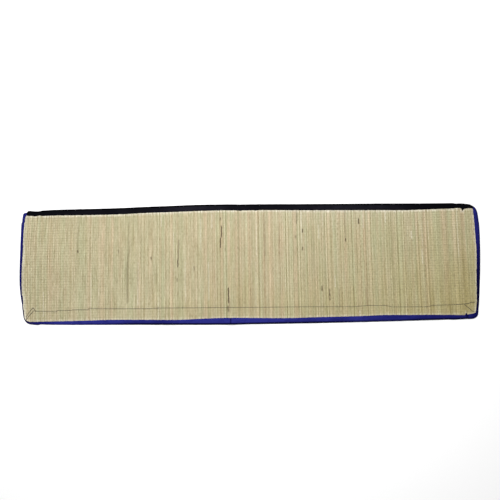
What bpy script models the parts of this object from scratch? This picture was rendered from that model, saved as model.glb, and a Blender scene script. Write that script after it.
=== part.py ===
"""Korai grass floor mat with a sewn cloth border.

The panel is woven from split sedge, laid side by side across the mat and held by cotton warps
along its length. A blue cotton strip wraps the two ends and the near long side, narrow on the
face and wide on the back, with mitred corners. A black strip wraps the far long side.

+X runs along the mat, +Y across it towards the black strip, +Z up. The origin lies on the
floor, under the middle of the mat. The edge tables are in millimetres, all else in metres.
"""
import math
from collections import namedtuple

import bmesh
import bpy
from mathutils import Vector
from mathutils.geometry import delaunay_2d_cdt

MM = 0.001

# Driving sizes of the mat
HALF_LENGTH = 0.917
HALF_WIDTH = 0.2392
PANEL_THICK = 0.003
CLOTH_THICK = 0.001
GAP = 0.0003

# How far the cloth reaches in on the back, from the sides of the mat's box
HEM_LEFT = 0.064
HEM_RIGHT = 0.076
HEM_NEAR = 0.075
HEM_FAR = 0.036

# Heights in the edge: cloth, panel and cloth, with a gap between each
PANEL_RISE = CLOTH_THICK + GAP
EDGE_HEIGHT = 2 * PANEL_RISE + PANEL_THICK
TURN = EDGE_HEIGHT / 2
PANEL_INSET = TURN + 0.0002
FRONT_MIN = 0.0042

# The panel comes down to the floor inside the hem
HEM_MARGIN = 0.001
FALL = 0.036
FALL_STEPS = 3

# Corner radii, and the steps round each corner
CORNER_STEPS = 6
CORNER_PASSES = 3
RADIUS_NEAR_LEFT = 0.020
RADIUS_NEAR_RIGHT = 0.022
RADIUS_FAR_RIGHT = 0.045
RADIUS_FAR_LEFT = 0.028

# Where the black strip meets the blue one on its two corners, as a share of the corner's turn
BLACK_LEFT = 0.62
BLACK_RIGHT = 0.52

# A small tuck of the black strip points into the panel near its right end
TUCK_X = 0.856
TUCK_HALF = 0.0045
TUCK_DEPTH = 0.012

# Spacing of the sections
LONG_REACH = 0.841
LONG_STEP = 0.067
SHORT_STEP = 0.046
PANEL_STEP = 0.100
WAVE_STEPS = 4
LEAST_STEP = 0.0075
ROW_CLEAR = 0.012
END_CLEAR = 0.00022

# Points closer than this are one point
MERGE = 1e-6
PLAN_MERGE = 1e-7

# Each row: place along the side, how far the edge is drawn in from the box, cloth on the face
Edge = namedtuple("Edge", "along draw_in front")

NEAR_SIDE = [
    Edge(-894, 16.7, 7.5),
    Edge(-853, 14.0, 9.7),
    Edge(-760, 10.3, 13.4),
    Edge(-657, 8.5, 15.9),
    Edge(-562, 7.1, 19.3),
    Edge(-421, 5.0, 19.2),
    Edge(-280, 2.6, 19.5),
    Edge(-185, 0.9, 24.2),
    Edge(-91, 0.0, 26.7),
    Edge(4, 0.1, 24.5),
    Edge(146, 0.2, 21.5),
    Edge(240, 0.3, 23.0),
    Edge(429, 1.5, 23.5),
    Edge(524, 2.5, 25.2),
    Edge(619, 3.5, 22.7),
    Edge(713, 5.0, 20.4),
    Edge(808, 6.2, 17.3),
    Edge(895, 7.2, 19.5),
]

FAR_SIDE = [
    Edge(-910, 14.5, 18.0),
    Edge(-848, 14.0, 20.0),
    Edge(-800, 11.7, 20.7),
    Edge(-712, 10.5, 22.3),
    Edge(-615, 9.5, 23.3),
    Edge(-519, 8.2, 23.7),
    Edge(-423, 5.1, 23.1),
    Edge(-326, 3.0, 23.5),
    Edge(-230, 0.5, 23.5),
    Edge(-133, 0.0, 22.6),
    Edge(-37, 1.6, 22.7),
    Edge(60, 1.9, 22.4),
    Edge(204, 3.9, 23.5),
    Edge(349, 5.3, 23.9),
    Edge(494, 6.8, 24.9),
    Edge(639, 8.4, 25.3),
    Edge(735, 9.6, 21.6),
    Edge(831, 9.9, 20.0),
    Edge(880, 10.8, 17.3),
    Edge(915, 11.7, 14.0),
]

LEFT_END = [
    Edge(-222, 26.5, 5.5),
    Edge(-178, 17.0, 2.4),
    Edge(-147, 12.5, 1.7),
    Edge(-115, 7.2, 4.3),
    Edge(-84, 2.8, 6.6),
    Edge(-44, 0.6, 6.7),
    Edge(19, 0.0, 8.0),
    Edge(75, 0.8, 8.9),
    Edge(139, 1.4, 9.1),
    Edge(184, 3.8, 10.6),
    Edge(226, 7.5, 10.5),
]

RIGHT_END = [
    Edge(-232, 24.5, 16.0),
    Edge(-207, 21.8, 13.7),
    Edge(-176, 18.8, 9.3),
    Edge(-145, 16.0, 9.5),
    Edge(-82, 10.3, 12.4),
    Edge(-18, 5.0, 14.7),
    Edge(45, 1.8, 14.9),
    Edge(110, 0.0, 17.1),
    Edge(154, 0.6, 17.6),
    Edge(179, 1.5, 15.8),
    Edge(229, 2.5, 14.3),
]

# Each row: middle, half width, height, and the part of the mat that lifts
Wave = namedtuple("Wave", "x half_width height part")

WAVES = [
    Wave(-0.078, 0.050, 0.0030, "across"),
    Wave(-0.335, 0.090, 0.0018, "near"),
    Wave(0.000, 0.060, 0.0018, "far"),
    Wave(0.505, 0.110, 0.0022, "far"),
]

# An edge wave keeps its height over the cloth, and dies out further in
WAVE_KEEP = 0.080
WAVE_FADE = 0.085

# Colours in linear light
GRASS_COLOUR = (0.54, 0.47, 0.30, 1.0)
BLUE_COLOUR = (0.022, 0.024, 0.200, 1.0)
BLACK_COLOUR = (0.009, 0.009, 0.013, 1.0)
GRASS_ROUGHNESS = 0.62
CLOTH_ROUGHNESS = 0.85


def smooth_step(value):
    """Ease from 0 to 1."""
    value = min(1.0, max(0.0, value))
    return value * value * (3.0 - 2.0 * value)


def edge_value(rows, along, column):
    """Read one column of an edge table, on a smooth curve through its rows."""
    places = [row.along * MM for row in rows]
    values = [getattr(row, column) * MM for row in rows]
    last = len(rows) - 2
    index = 0
    while index < last and along > places[index + 1]:
        index += 1
    before = max(index - 1, 0)
    after = min(index + 2, len(rows) - 1)
    span = places[index + 1] - places[index]
    start_slope = (values[index + 1] - values[before]) / (places[index + 1] - places[before])
    end_slope = (values[after] - values[index]) / (places[after] - places[index])
    t = min(1.0, max(0.0, (along - places[index]) / span))
    rise = values[index + 1] - values[index]
    from_start = t * (1.0 - t) ** 2 * span * start_slope
    from_end = t * t * (t - 1.0) * span * end_slope
    return values[index] + rise * t * t * (3.0 - 2.0 * t) + from_start + from_end


def side_point(side, along):
    """A point of the mat's outline on one of its four sides, before the corners are rounded."""
    if side == "near":
        return Vector((along, edge_value(NEAR_SIDE, along, "draw_in") - HALF_WIDTH))
    if side == "far":
        return Vector((along, HALF_WIDTH - edge_value(FAR_SIDE, along, "draw_in")))
    if side == "left":
        return Vector((edge_value(LEFT_END, along, "draw_in") - HALF_LENGTH, along))
    return Vector((HALF_LENGTH - edge_value(RIGHT_END, along, "draw_in"), along))


def side_front(side, along):
    """The width of cloth on the face, at a place along one side."""
    tables = {"near": NEAR_SIDE, "far": FAR_SIDE, "left": LEFT_END, "right": RIGHT_END}
    width = edge_value(tables[side], along, "front")
    if side == "far":
        off = abs(along - TUCK_X) / TUCK_HALF
        width += TUCK_DEPTH * max(0.0, 1.0 - off)
    return max(width, FRONT_MIN)


def corner_point(long_side, end):
    """Where a long side and an end would cross if the corner were square."""
    x = -HALF_LENGTH if end == "left" else HALF_LENGTH
    y = -HALF_WIDTH if long_side == "near" else HALF_WIDTH
    for _ in range(CORNER_PASSES):
        y = side_point(long_side, x).y
        x = side_point(end, y).x
    return Vector((x, y))


def wave_places():
    """Places along the mat that its waves need a section at."""
    places = []
    for wave in WAVES:
        for step in range(-WAVE_STEPS, WAVE_STEPS + 1):
            places.append(wave.x + wave.half_width * step / WAVE_STEPS)
    return places


def long_places():
    """Places along the mat that both long sides and the panel have a section at."""
    steps = round(2 * LONG_REACH / LONG_STEP)
    regular = [LONG_REACH * (2 * step / steps - 1) for step in range(steps + 1)]
    kept = []
    for place in wave_places() + regular:
        if all(abs(place - other) >= LEAST_STEP for other in kept):
            kept.append(place)
    return sorted(kept)


Station = namedtuple("Station", "point front")


def side_stations(side, start, stop):
    """Stations along one side, between the ends of its two rounded corners."""
    if side in ("near", "far"):
        places = [start] + long_places() + [stop]
        if side == "far":
            places += [TUCK_X - TUCK_HALF, TUCK_X, TUCK_X + TUCK_HALF]
        places.sort()
    else:
        steps = round((stop - start) / SHORT_STEP)
        places = [start + (stop - start) * step / steps for step in range(steps + 1)]
    return [Station(side_point(side, place), side_front(side, place)) for place in places]


def corner_stations(first, corner, last):
    """Stations round a corner: an arc that leaves one side and joins the next."""
    weight = math.sqrt(0.5)
    stations = []
    for step in range(1, CORNER_STEPS):
        t = step / CORNER_STEPS
        start_share = (1.0 - t) ** 2
        corner_share = 2.0 * weight * t * (1.0 - t)
        last_share = t * t
        total = start_share + corner_share + last_share
        mixed = first.point * start_share + corner * corner_share + last.point * last_share
        front = first.front + (last.front - first.front) * t
        stations.append(Station(mixed / total, front))
    return stations


def outline():
    """The mat's outline, anticlockwise from above, as four sides and four corners."""
    near_left = corner_point("near", "left")
    near_right = corner_point("near", "right")
    far_right = corner_point("far", "right")
    far_left = corner_point("far", "left")
    near = side_stations("near", near_left.x + RADIUS_NEAR_LEFT, near_right.x - RADIUS_NEAR_RIGHT)
    right = side_stations("right", near_right.y + RADIUS_NEAR_RIGHT, far_right.y - RADIUS_FAR_RIGHT)
    far = side_stations("far", far_left.x + RADIUS_FAR_LEFT, far_right.x - RADIUS_FAR_RIGHT)
    left = side_stations("left", near_left.y + RADIUS_NEAR_LEFT, far_left.y - RADIUS_FAR_LEFT)
    far.reverse()
    left.reverse()
    return {
        "near": near,
        "near_right": corner_stations(near[-1], near_right, right[0]),
        "right": right,
        "far_right": corner_stations(right[-1], far_right, far[0]),
        "far": far,
        "far_left": corner_stations(far[-1], far_left, left[0]),
        "left": left,
        "near_left": corner_stations(left[-1], near_left, near[0]),
    }


def inward_normals(points):
    """Unit vectors that point into the mat, square to a closed anticlockwise outline."""
    normals = []
    for index, point in enumerate(points):
        ahead = points[(index + 1) % len(points)]
        behind = points[index - 1]
        forward = (ahead - behind).normalized()
        normals.append(Vector((-forward.y, forward.x)))
    return normals


def wave_share(part, y):
    """How much of a wave's height is left at a place across the mat."""
    if part == "across":
        return 1.0
    from_edge = HALF_WIDTH - y if part == "far" else HALF_WIDTH + y
    return 1.0 - smooth_step((from_edge - WAVE_KEEP) / WAVE_FADE)


def lift(x, y):
    """How far the mat is raised from the floor by its crease and edge waves."""
    total = 0.0
    for wave in WAVES:
        off = abs(x - wave.x) / wave.half_width
        if off < 1.0:
            bell = 0.5 * (1.0 + math.cos(math.pi * off))
            total += wave.height * bell * wave_share(wave.part, y)
    return total


def over_hem(x, y):
    """1 where the panel lies on the folded cloth, easing to 0 where it lies on the floor."""
    inside = (
        x + HALF_LENGTH - HEM_LEFT,
        HALF_LENGTH - HEM_RIGHT - x,
        y + HALF_WIDTH - HEM_NEAR,
        HALF_WIDTH - HEM_FAR - y,
    )
    flat = 1.0
    for distance in inside:
        flat *= smooth_step((distance - HEM_MARGIN) / FALL)
    return 1.0 - flat


def panel_nodes(ring):
    """Points of the panel inside its edge: close together where it comes down off the hem."""
    far_x = HALF_LENGTH - HEM_RIGHT - HEM_MARGIN
    near_x = HEM_LEFT + HEM_MARGIN - HALF_LENGTH
    far_y = HALF_WIDTH - HEM_FAR - HEM_MARGIN
    near_y = HEM_NEAR + HEM_MARGIN - HALF_WIDTH
    falls = [FALL * step / FALL_STEPS for step in range(FALL_STEPS + 1)]
    x_places = [near_x + fall for fall in falls]
    x_places += [far_x - fall for fall in falls]
    clear = FALL + LEAST_STEP
    x_places += [x for x in long_places() if near_x + clear < x < far_x - clear]
    y_places = [near_y + fall for fall in falls]
    y_places += [far_y - fall for fall in falls]
    inner_start = near_y + FALL
    inner_stop = far_y - FALL
    steps = round((inner_stop - inner_start) / PANEL_STEP)
    for step in range(1, steps):
        y_places.append(inner_start + (inner_stop - inner_start) * step / steps)
    y_places.append(HEM_NEAR / 2 - HALF_WIDTH)
    x_places += [HEM_LEFT / 2 - HALF_LENGTH, HALF_LENGTH - HEM_RIGHT / 2]
    nodes = []
    for x in x_places:
        for y in y_places:
            node = Vector((x, y))
            if min((node - point).length for point in ring) > ROW_CLEAR:
                nodes.append(node)
    return nodes


def new_object(name, body, colour, roughness):
    """Put a finished body in the scene, under its own name and material."""
    bmesh.ops.recalc_face_normals(body, faces=body.faces)
    mesh = bpy.data.meshes.new(name)
    body.to_mesh(mesh)
    body.free()
    material = bpy.data.materials.new(name)
    material.use_nodes = True
    shader = material.node_tree.nodes["Principled BSDF"]
    shader.inputs["Base Color"].default_value = colour
    shader.inputs["Roughness"].default_value = roughness
    shader.inputs["Metallic"].default_value = 0.0
    mesh.materials.append(material)
    piece = bpy.data.objects.new(name, mesh)
    bpy.context.scene.collection.objects.link(piece)
    return piece


def is_inside(ring, place):
    """Whether a place lies inside a closed outline."""
    crossings = 0
    for start, stop in zip(ring, ring[1:] + ring[:1]):
        if (start.y > place.y) != (stop.y > place.y):
            share = (place.y - start.y) / (stop.y - start.y)
            if start.x + (stop.x - start.x) * share > place.x:
                crossings += 1
    return crossings % 2 == 1


def korai_panel(points, normals):
    """The woven panel: one sheet that lies on the floor, and on the hem along its edges."""
    ring = [point + normal * PANEL_INSET for point, normal in zip(points, normals)]
    edges = [(index, (index + 1) % len(ring)) for index in range(len(ring))]
    plan = delaunay_2d_cdt(ring + panel_nodes(ring), edges, [], 0, PLAN_MERGE, False)
    body = bmesh.new()
    under = []
    over = []
    for place in plan[0]:
        z = PANEL_RISE * over_hem(place.x, place.y) + lift(place.x, place.y)
        under.append(body.verts.new((place.x, place.y, z)))
        over.append(body.verts.new((place.x, place.y, z + PANEL_THICK)))
    uses = {}
    for face in plan[2]:
        middle = (plan[0][face[0]] + plan[0][face[1]] + plan[0][face[2]]) / 3
        if not is_inside(ring, middle):
            continue
        body.faces.new([over[index] for index in face])
        body.faces.new([under[index] for index in reversed(face)])
        for index, start in enumerate(face):
            stop = face[(index + 1) % len(face)]
            key = (min(start, stop), max(start, stop))
            uses[key] = uses.get(key, 0) + 1
    for (start, stop), count in uses.items():
        if count == 1:
            body.faces.new((under[start], under[stop], over[stop], over[start]))
    return new_object("korai_panel", body, GRASS_COLOUR, GRASS_ROUGHNESS)


def inner_corner(point, keep_x, keep_y):
    """The point of the hem's inner line that an outline point folds in to."""
    left = HEM_LEFT - HALF_LENGTH + keep_x
    right = HALF_LENGTH - HEM_RIGHT - keep_x
    near = HEM_NEAR - HALF_WIDTH
    far = HALF_WIDTH - HEM_FAR - keep_y
    return Vector((min(max(point.x, left), right), min(max(point.y, near), far)))


def cloth_section(point, normal, front, back):
    """One section of a binding: face, turn and back of the cloth, as a closed loop."""
    behind = (back - point).normalized()
    reach = (back - point).length
    inner = TURN - CLOTH_THICK
    turn_in = TURN * (1.0 - math.sqrt(0.5))
    inner_in = CLOTH_THICK + inner * (1.0 - math.sqrt(0.5))
    loop = [
        (normal, front, EDGE_HEIGHT),
        (normal, TURN, EDGE_HEIGHT),
        (normal, turn_in, EDGE_HEIGHT - turn_in),
        (normal, 0.0, TURN),
        (behind, turn_in, turn_in),
        (behind, TURN, 0.0),
        (behind, reach, 0.0),
        (behind, reach, CLOTH_THICK),
        (behind, TURN, CLOTH_THICK),
        (behind, inner_in, inner_in),
        (normal, CLOTH_THICK, TURN),
        (normal, inner_in, EDGE_HEIGHT - inner_in),
        (normal, TURN, EDGE_HEIGHT - CLOTH_THICK),
        (normal, front, EDGE_HEIGHT - CLOTH_THICK),
    ]
    section = []
    for direction, distance, height in loop:
        place = point + direction * distance
        section.append(Vector((place.x, place.y, height + lift(place.x, place.y))))
    return section


def binding(name, stations, keep_x, keep_y, colour):
    """A strip of cloth wrapped round part of the outline, with a section at each station."""
    body = bmesh.new()
    rows = []
    for station, normal in stations:
        back = inner_corner(station.point, keep_x, keep_y)
        section = cloth_section(station.point, normal, station.front, back)
        rows.append([body.verts.new(place) for place in section])
    for first, second in zip(rows, rows[1:]):
        for index in range(len(first)):
            after = (index + 1) % len(first)
            body.faces.new((first[index], first[after], second[after], second[index]))
    body.faces.new(rows[0])
    body.faces.new(list(reversed(rows[-1])))
    bmesh.ops.remove_doubles(body, verts=body.verts, dist=MERGE)
    return new_object(name, body, colour, CLOTH_ROUGHNESS)


def between(first, second, share):
    """A station part of the way from one to the next, with its inward normal."""
    point = first[0].point.lerp(second[0].point, share)
    front = first[0].front + (second[0].front - first[0].front) * share
    normal = first[1].lerp(second[1], share).normalized()
    return Station(point, front), normal


def cut_ring(ring, place):
    """A station at a fractional place of the ring."""
    index = int(place)
    return between(ring[index % len(ring)], ring[(index + 1) % len(ring)], place - index)


def strip_stations(ring, start, stop):
    """The stations of a strip that runs from one fractional place of the ring to another."""
    step_start = (ring[int(start) + 1][0].point - ring[int(start)][0].point).length
    after = (int(stop) + 1) % len(ring)
    step_stop = (ring[after][0].point - ring[int(stop) % len(ring)][0].point).length
    stations = [cut_ring(ring, start + END_CLEAR / step_start)]
    stations += [ring[index % len(ring)] for index in range(int(start) + 1, int(stop) + 1)]
    stations.append(cut_ring(ring, stop - END_CLEAR / step_stop))
    return stations


for old in list(bpy.data.objects):
    bpy.data.objects.remove(old, do_unlink=True)

sides = outline()
around = []
starts = {}
for part_name, part_stations in sides.items():
    starts[part_name] = len(around)
    around += part_stations
outline_points = [station.point for station in around]
outline_normals = inward_normals(outline_points)
mat_ring = list(zip(around, outline_normals))

black_from = starts["far_right"] - 1 + CORNER_STEPS * BLACK_RIGHT
black_to = starts["far_left"] - 1 + CORNER_STEPS * (1.0 - BLACK_LEFT)

korai_panel(outline_points, outline_normals)
black_stations = strip_stations(mat_ring, black_from, black_to)
binding("black_binding", black_stations, GAP, 0.0, BLACK_COLOUR)
blue_stations = strip_stations(mat_ring, black_to, black_from + len(mat_ring))
binding("blue_binding", blue_stations, 0.0, GAP, BLUE_COLOUR)
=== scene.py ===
"""The korai grass floor mat, dressed: split sedge woven on cotton warps, with a sewn cloth border.

+X runs along the mat, +Y across it towards the black strip, +Z up, all in metres.
"""
import math
from collections import namedtuple

import bpy
import numpy as np
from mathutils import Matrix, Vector
from mathutils.bvhtree import BVHTree
from mathutils.kdtree import KDTree


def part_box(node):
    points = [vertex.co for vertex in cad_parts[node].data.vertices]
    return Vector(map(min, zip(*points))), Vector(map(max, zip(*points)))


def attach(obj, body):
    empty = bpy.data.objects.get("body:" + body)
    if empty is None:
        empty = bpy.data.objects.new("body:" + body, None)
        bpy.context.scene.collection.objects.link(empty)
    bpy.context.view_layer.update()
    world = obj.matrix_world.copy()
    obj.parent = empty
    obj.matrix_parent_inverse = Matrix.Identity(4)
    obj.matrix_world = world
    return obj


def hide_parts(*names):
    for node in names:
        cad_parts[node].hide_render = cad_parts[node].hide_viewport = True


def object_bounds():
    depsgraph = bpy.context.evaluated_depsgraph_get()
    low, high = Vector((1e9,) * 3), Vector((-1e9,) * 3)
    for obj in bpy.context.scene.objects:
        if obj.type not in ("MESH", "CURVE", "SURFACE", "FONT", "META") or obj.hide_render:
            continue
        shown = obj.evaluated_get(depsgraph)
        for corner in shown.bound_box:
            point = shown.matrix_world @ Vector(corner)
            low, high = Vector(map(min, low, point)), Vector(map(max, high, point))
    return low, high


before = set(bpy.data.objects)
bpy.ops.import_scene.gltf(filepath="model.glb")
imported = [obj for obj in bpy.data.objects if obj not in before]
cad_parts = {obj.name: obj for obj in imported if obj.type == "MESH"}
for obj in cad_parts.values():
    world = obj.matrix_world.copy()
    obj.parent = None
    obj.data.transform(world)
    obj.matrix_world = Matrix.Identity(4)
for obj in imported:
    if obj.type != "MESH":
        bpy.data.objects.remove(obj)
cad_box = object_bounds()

MM = 0.001
BODY = "root"


# The mat's edge. The panel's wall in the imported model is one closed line, and the cloth turns
# over it a little further out. Every piece below is laid out from this line.

# The step of the line and the wall's distance inside it, which takes at most a share of the strip's
# face. DENSE is the step of the fine line that it is read from
EDGE_STEP = 0.0030
WALL_TO_EDGE = 0.0030
WALL_SHARE = 0.45
DENSE = 0.0008

# The wall's faces are those whose normals hardly rise, and their points are read to a micrometre
UPRIGHT = 0.2
DIGITS = 6


def listed(kind, table):
    """The rows of a table, with their columns named."""
    return [kind(*row) for row in table]


# Each corner as it is sewn, in millimetres, going round anticlockwise: the turned edge, then the
# strip's inner edge
Pair = namedtuple("Pair", "x y inner_x inner_y")
NEAR_LEFT = listed(Pair, [
    (-909.7, -114.1, -901.6, -114.2), (-907.1, -131.0, -899.4, -131.1), (-903.6, -148.3, -898.9, -146.8),
    (-902.0, -161.6, -898.3, -160.8), (-900.1, -175.3, -895.4, -174.5), (-897.7, -190.6, -894.0, -189.8),
    (-893.8, -204.3, -891.2, -203.0), (-889.7, -211.8, -886.5, -209.3), (-882.7, -219.7, -879.2, -213.2),
    (-874.1, -224.1, -872.3, -215.6), (-860.3, -226.3, -859.9, -216.0), (-838.0, -228.2, -838.0, -216.4),
])
NEAR_RIGHT = listed(Pair, [
    (787.8, -234.1, 788.1, -215.5), (822.1, -233.3, 822.3, -216.9), (837.0, -232.7, 836.5, -217.1),
    (841.5, -232.5, 840.8, -215.0), (845.5, -232.4, 844.8, -207.9), (850.0, -232.4, 849.5, -215.5),
    (861.3, -232.4, 860.6, -213.2), (869.8, -231.9, 869.0, -211.8), (877.8, -229.4, 874.5, -210.6),
    (884.6, -225.6, 878.5, -209.3), (890.6, -219.2, 881.4, -208.0), (892.8, -211.3, 882.8, -204.5),
    (894.8, -194.3, 884.9, -193.0), (897.3, -177.5, 887.9, -177.0), (901.0, -143.5, 890.2, -143.3),
])
FAR_RIGHT = listed(Pair, [
    (915.6, 154.0, 896.2, 154.1), (914.4, 172.0, 896.0, 168.7), (913.2, 185.2, 895.0, 181.5),
    (910.2, 197.4, 894.6, 191.5), (905.6, 207.6, 894.2, 199.5), (900.3, 213.0, 893.6, 203.6),
    (895.6, 216.3, 891.6, 205.3), (888.6, 220.3, 885.5, 206.9), (881.6, 223.2, 879.0, 207.3),
    (867.2, 225.3, 866.5, 206.2), (860.5, 226.2, 860.0, 204.6), (856.5, 226.7, 856.0, 201.5),
    (852.9, 227.0, 852.1, 196.1), (849.0, 227.2, 848.8, 205.4), (840.7, 227.4, 840.5, 208.4),
    (824.4, 227.6, 824.0, 209.1),
])
FAR_LEFT = listed(Pair, [
    (-840.8, 223.6, -840.8, 205.8), (-857.2, 222.8, -857.2, 202.0), (-872.9, 224.1, -872.5, 204.0),
    (-884.0, 225.0, -883.4, 204.6), (-888.6, 224.2, -888.0, 204.9), (-892.6, 219.6, -892.0, 206.0),
    (-895.9, 217.2, -894.9, 206.6), (-900.7, 217.2, -895.3, 205.6), (-905.7, 215.1, -895.9, 204.6),
    (-908.2, 211.5, -896.6, 203.2), (-908.9, 206.9, -897.4, 201.0), (-910.4, 198.6, -898.8, 196.0),
    (-911.2, 189.0, -899.9, 188.0), (-911.5, 180.9, -899.6, 180.5),
])
CORNERS = (NEAR_LEFT, NEAR_RIGHT, FAR_RIGHT, FAR_LEFT)
CORNER_MARGIN = 2 * EDGE_STEP

# The black strip takes up the far side between two places along the mat
BLACK_FROM = 0.8982
BLACK_TO = -0.8958
BLACK_ABOVE = 0.18


def round_the_middle(points):
    """Places in order of their bearing from the mat's middle."""
    return np.array(sorted(points, key=lambda place: math.atan2(place[1], place[0])))


def wall_line(node):
    """The points of a sheet's upright wall, in order round its middle."""
    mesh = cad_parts[node].data
    found = set()
    for face in mesh.polygons:
        if abs(face.normal.z) < UPRIGHT:
            for index in face.vertices:
                place = mesh.vertices[index].co
                found.add((round(place.x, DIGITS), round(place.y, DIGITS)))
    return round_the_middle(found)


def smooth_loop(points, step):
    """Points on a smooth closed line through the given ones, a step apart."""
    ahead = np.roll(points, -1, 0)
    span = np.linalg.norm(ahead - points, axis=1)[:, None]
    slope = (ahead - points) / span
    before_span = np.roll(span, 1, 0)
    tangent = (np.roll(slope, 1, 0) * span + slope * before_span) / (span + before_span)
    fine = []
    for index in range(len(points)):
        after = (index + 1) % len(points)
        t = np.linspace(0.0, 1.0, max(2, int(span[index, 0] / DENSE)), endpoint=False)[:, None]
        bend_out = t * (1 - t) ** 2 * span[index] * tangent[index]
        bend_in = t * t * (t - 1) * span[index] * tangent[after]
        blend = t * t * (3 - 2 * t)
        fine.append(points[index] + (points[after] - points[index]) * blend + bend_out + bend_in)
    fine = np.concatenate(fine)
    closed = np.vstack([fine, fine[:1]])
    run = np.concatenate([[0.0], np.cumsum(np.linalg.norm(np.diff(closed, axis=0), axis=1))])
    count = round(run[-1] / step)
    places = np.arange(count) * run[-1] / count
    return np.stack([np.interp(places, run, closed[:, axis]) for axis in (0, 1)], 1)


def inward(points):
    """Unit vectors into the mat, square to a closed anticlockwise line."""
    forward = np.roll(points, -1, 0) - np.roll(points, 1, 0)
    forward /= np.linalg.norm(forward, axis=1)[:, None]
    return np.stack([-forward[:, 1], forward[:, 0]], 1)


packed_edge = smooth_loop(wall_line("korai_panel"), 2 * EDGE_STEP)
packed_edge = packed_edge - inward(packed_edge) * WALL_TO_EDGE
kept = np.ones(len(packed_edge), bool)
for corner in CORNERS:
    sewn = np.array(corner)[:, :2] * MM
    inside = (packed_edge > sewn.min(0) - CORNER_MARGIN) & (packed_edge < sewn.max(0) + CORNER_MARGIN)
    kept &= ~inside.all(1)
sewn_edge = np.vstack([packed_edge[kept]] + [np.array(corner)[:, :2] * MM for corner in CORNERS])
edge_points = smooth_loop(round_the_middle(sewn_edge), EDGE_STEP)
edge_normals = inward(edge_points)

trees = {}
for node_name, cad_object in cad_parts.items():
    points = [vertex.co for vertex in cad_object.data.vertices]
    trees[node_name] = BVHTree.FromPolygons(points, [face.vertices for face in cad_object.data.polygons])

# Rays start this far above or below the mat
HIGH = 0.1


def top_of(node, x, y):
    """The height of a CAD node's upper side at a place, or nothing where it has none."""
    hit = trees[node].ray_cast(Vector((x, y, HIGH)), Vector((0, 0, -1)))[0]
    return None if hit is None else hit.z


def floor_of(x, y):
    """How far the mat's underside is off the floor at a place."""
    hits = [tree.ray_cast(Vector((x, y, -HIGH)), Vector((0, 0, 1)))[0] for tree in trees.values()]
    heights = [hit.z for hit in hits if hit is not None]
    return min(heights) if heights else 0.0


# A strip's face width is sought between two distances, by halving them so many times. The layer
# stands so far above the floor, whose height is felt a little in from the edge
FRONT_FROM = 0.0036
FRONT_TO = 0.0420
FRONT_TRIES = 9
FRONT_ABOVE = 0.0030
LIFT_AT = 0.0055
BINDINGS = ("blue_binding", "black_binding")

# How much wider the face is sewn than it is packed: on the far side, and at places across the two ends
BLACK_WIDER = 0.0022
LEFT_WIDER = ([-0.15, -0.03, 0.02, 0.08, 0.12], [0.0018, 0.0022, 0.0028, 0.0029, 0.0022])
RIGHT_WIDER = (
    [-0.18, -0.10, -0.07, -0.04, 0.00, 0.04, 0.07, 0.10],
    [0.0014, 0.0020, 0.0016, 0.0014, 0.0010, 0.0006, 0.0022, 0.0022],
)


def cloth_over(place, height):
    """Whether a strip's face layer covers a place of the mat."""
    tops = [top_of(name, place[0], place[1]) for name in BINDINGS]
    return any(top is not None and top - height > FRONT_ABOVE for top in tops)


def packed_front(point, normal, height):
    """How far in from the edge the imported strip's face layer reaches."""
    short, wide = FRONT_FROM, FRONT_TO
    for _ in range(FRONT_TRIES):
        middle = (short + wide) / 2
        if cloth_over(point + normal * middle, height):
            short = middle
        else:
            wide = middle
    return short


edge_lift = np.array([floor_of(*(p + n * LIFT_AT)) for p, n in zip(edge_points, edge_normals)])
edge_is_black = (edge_points[:, 0] < BLACK_FROM) & (edge_points[:, 0] > BLACK_TO)
edge_is_black &= edge_points[:, 1] > BLACK_ABOVE
edge_front = np.array([packed_front(*facts) for facts in zip(edge_points, edge_normals, edge_lift)])
right_wider = np.interp(edge_points[:, 1], *RIGHT_WIDER)
left_wider = np.interp(edge_points[:, 1], *LEFT_WIDER)
end_wider = np.where(edge_points[:, 0] > 0, right_wider, left_wider) * np.abs(edge_normals[:, 0])
edge_front += np.where(edge_is_black, BLACK_WIDER, end_wider)
edge_inner = edge_points + edge_normals * edge_front[:, None]
for corner in CORNERS:
    sewn = np.array(corner) * MM
    gaps = np.linalg.norm(edge_points[:, None] - sewn[None, :, :2], axis=2)
    nearest = np.argmin(gaps, 0)
    span = np.arange(nearest[0], nearest[-1] + 1)
    for axis in (0, 1):
        edge_inner[span, axis] = np.interp(span, nearest, sewn[:, 2 + axis])
edge_front = np.linalg.norm(edge_inner - edge_points, axis=1)
edge_facing = (edge_inner - edge_points) / edge_front[:, None]
wall = edge_points + edge_normals * np.minimum(WALL_TO_EDGE, edge_front * WALL_SHARE)[:, None]


# The woven sedge. Each strand is a split stem of korai sedge, flat and slightly rounded, dried
# green, straw or rosy. They lie across the mat, side by side, and pass over one warp and under
# the next, out of step with their neighbours. The weaver's three bundles are three pieces here.

STRAND_PITCH = 0.0023
STRAND_HALF = 0.00142
STRAND_UNEVEN = 0.00006
THINNEST = -2.0
THICKEST = 1.0
STRAND_FLAT = 0.42
STRAND_SHIFT = 0.00007
STRAND_BOW = 0.00008
BOW_LENGTHS = (0.2, 0.6)
TUBE_SIDES = 4
WARP_PITCH = 0.0102
WARPS_A_WAVE = 2.0
WEAVE_DEPTH = 0.00062
PANEL_MIDDLE = 0.0015
END_UNEVEN = 0.0008
END_TIP = 0.0016
END_CLEAR = 0.3
END_TRIES = 3
STEM_SPREAD = 200
SEED = 11

# How far the tone strays from strand to strand, on the calm left part and on the rest. It is evened
# out over a few strands, and a strand is unlike the next but one
TONE_CALM = 0.074
TONE_LIVELY = 0.128
TONE_LIMIT = 2.0
CALM_TO = -0.17
CALM_FADE = 0.10
EVEN_OVER = 9
EVEN_BY = 0.9
UNLIKE = 0.7
NEXT_BUT_ONE = 2

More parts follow.
